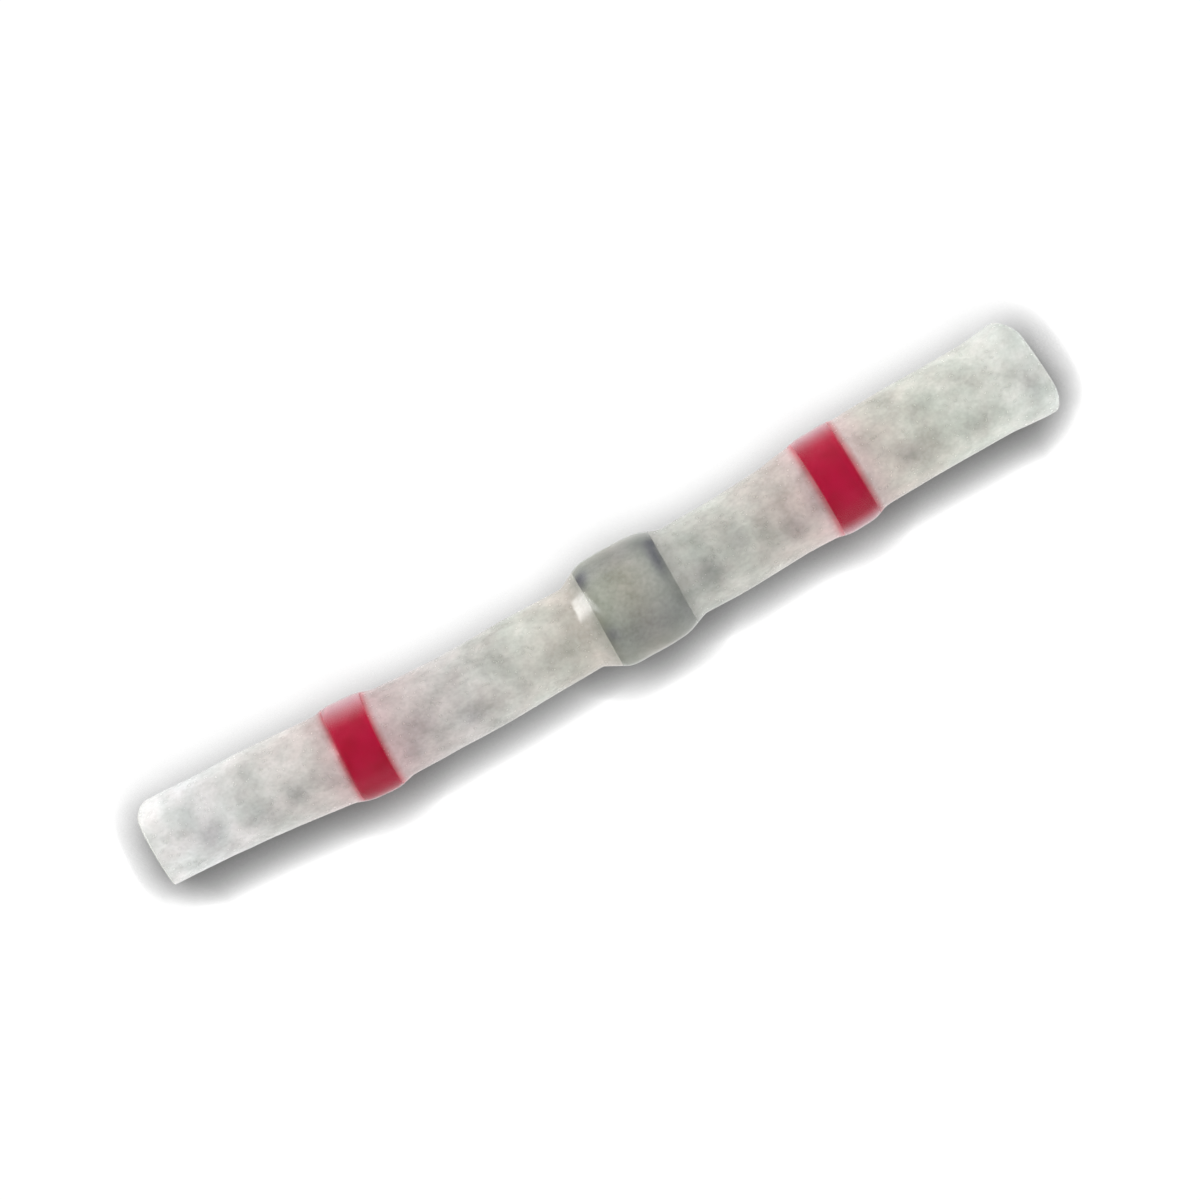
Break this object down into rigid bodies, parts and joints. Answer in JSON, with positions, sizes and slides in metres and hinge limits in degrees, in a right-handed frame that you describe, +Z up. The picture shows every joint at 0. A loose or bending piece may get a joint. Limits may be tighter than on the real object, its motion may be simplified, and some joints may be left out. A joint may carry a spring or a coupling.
{
  "type": "solder seal wire connector",
  "caption": "Translucent heat-shrink sleeve with a solder ring in its middle and a red sealing ring on each side, for joining two stripped wires end to end.",
  "frame": {"origin": "on the surface that the connector lies on, under the middle of the sleeve", "axes": "+X along the sleeve, from the narrower mouth to the flared one; +Z up; the sleeve's ends bow slightly towards +Y"},
  "size_m": [0.0402, 0.005, 0.0047],
  "materials": {
    "sleeve": "milky translucent heat-shrink tubing, satin",
    "solder": "dull grey low-melting solder with a trace of flux",
    "sealant": "red hot-melt sealant, waxy"
  },
  "bodies": {
    "root": {"shrink_sleeve": "sleeve", "solder_ring": "solder", "seal_ring_left": "sealant", "seal_ring_right": "sealant"}
  },
  "joints": []
}
